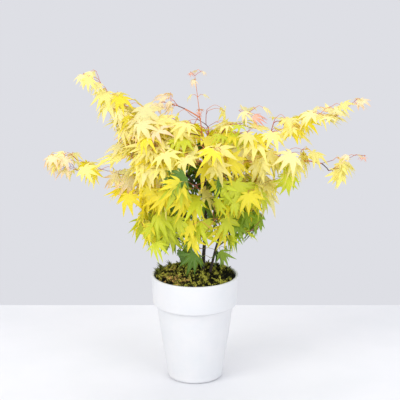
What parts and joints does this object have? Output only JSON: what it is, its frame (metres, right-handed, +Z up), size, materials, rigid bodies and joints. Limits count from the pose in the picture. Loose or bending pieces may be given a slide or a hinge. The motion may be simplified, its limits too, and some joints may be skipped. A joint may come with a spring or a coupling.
{
  "type": "potted japanese maple",
  "caption": "Small ornamental maple in pale autumn tints, standing in a tapered white ceramic flowerpot with a tall collar, for a patio or table.",
  "frame": {"origin": "centre of the pot's flat underside", "axes": "+Z up along the pot's axis, and the front of the plant faces -Y"},
  "size_m": [0.6234, 0.4237, 0.6348],
  "materials": {
    "white_glaze": "satin white glaze",
    "growing_mix": "damp crumbly growing mix",
    "moss": "matt tufted moss",
    "bark": "thin ridged bark",
    "gold_leaf": "soft matt leaf, golden yellow",
    "lime_leaf": "soft matt leaf, yellow green",
    "blush_leaf": "soft matt leaf, pale yellow with a pink edge"
  },
  "bodies": {
    "root": {"bough_back_fan": "bark", "bough_back_shoulder": "bark", "bough_low_front": "bark", "bough_low_left": "bark", "bough_low_right": "bark", "bough_lower_left_shoulder": "bark", "bough_lower_right_fan": "bark", "bough_lower_right_shoulder": "bark", "bough_middle_back": "bark", "bough_middle_front_left": "bark", "bough_middle_front_right": "bark", "bough_top_right": "bark", "bough_top_sprig": "bark", "bough_upper_left_shoulder": "bark", "bough_upper_right_shoulder": "bark", "foliage_back_fan": "gold_leaf", "foliage_back_shoulder": "gold_leaf", "foliage_crest_sprig": "blush_leaf", "foliage_foot_left": "lime_leaf", "foliage_foot_right": "lime_leaf", "foliage_front_fan": "gold_leaf", "foliage_leader_tuft": "blush_leaf", "foliage_low_back_left": "lime_leaf", "foliage_low_back_right": "lime_leaf", "foliage_low_front": "lime_leaf", "foliage_low_left": "lime_leaf", "foliage_low_right": "lime_leaf", "foliage_lower_left_fan": "gold_leaf", "foliage_lower_left_shoulder": "gold_leaf", "foliage_lower_left_tip": "blush_leaf", "foliage_lower_right_fan": "blush_leaf", "foliage_lower_right_shoulder": "gold_leaf", "foliage_lower_right_tip": "blush_leaf", "foliage_middle_back": "lime_leaf", "foliage_middle_front_left": "lime_leaf", "foliage_middle_front_right": "lime_leaf", "foliage_middle_left": "lime_leaf", "foliage_middle_right": "lime_leaf", "foliage_side_sprig": "lime_leaf", "foliage_top_back": "gold_leaf", "foliage_top_left": "gold_leaf", "foliage_top_right": "gold_leaf", "foliage_top_sprig": "gold_leaf", "foliage_upper_back_left": "gold_leaf", "foliage_upper_back_right": "gold_leaf", "foliage_upper_front": "gold_leaf", "foliage_upper_left": "gold_leaf", "foliage_upper_left_fan": "blush_leaf", "foliage_upper_left_shoulder": "gold_leaf", "foliage_upper_left_tip": "blush_leaf", "foliage_upper_right": "gold_leaf", "foliage_upper_right_fan": "gold_leaf", "foliage_upper_right_shoulder": "gold_leaf", "foliage_upper_right_tip": "blush_leaf", "growing_mix": "growing_mix", "left_stem": "bark", "moss": "moss", "pot": "white_glaze", "right_stem": "bark", "trunk": "bark"}
  },
  "joints": []
}
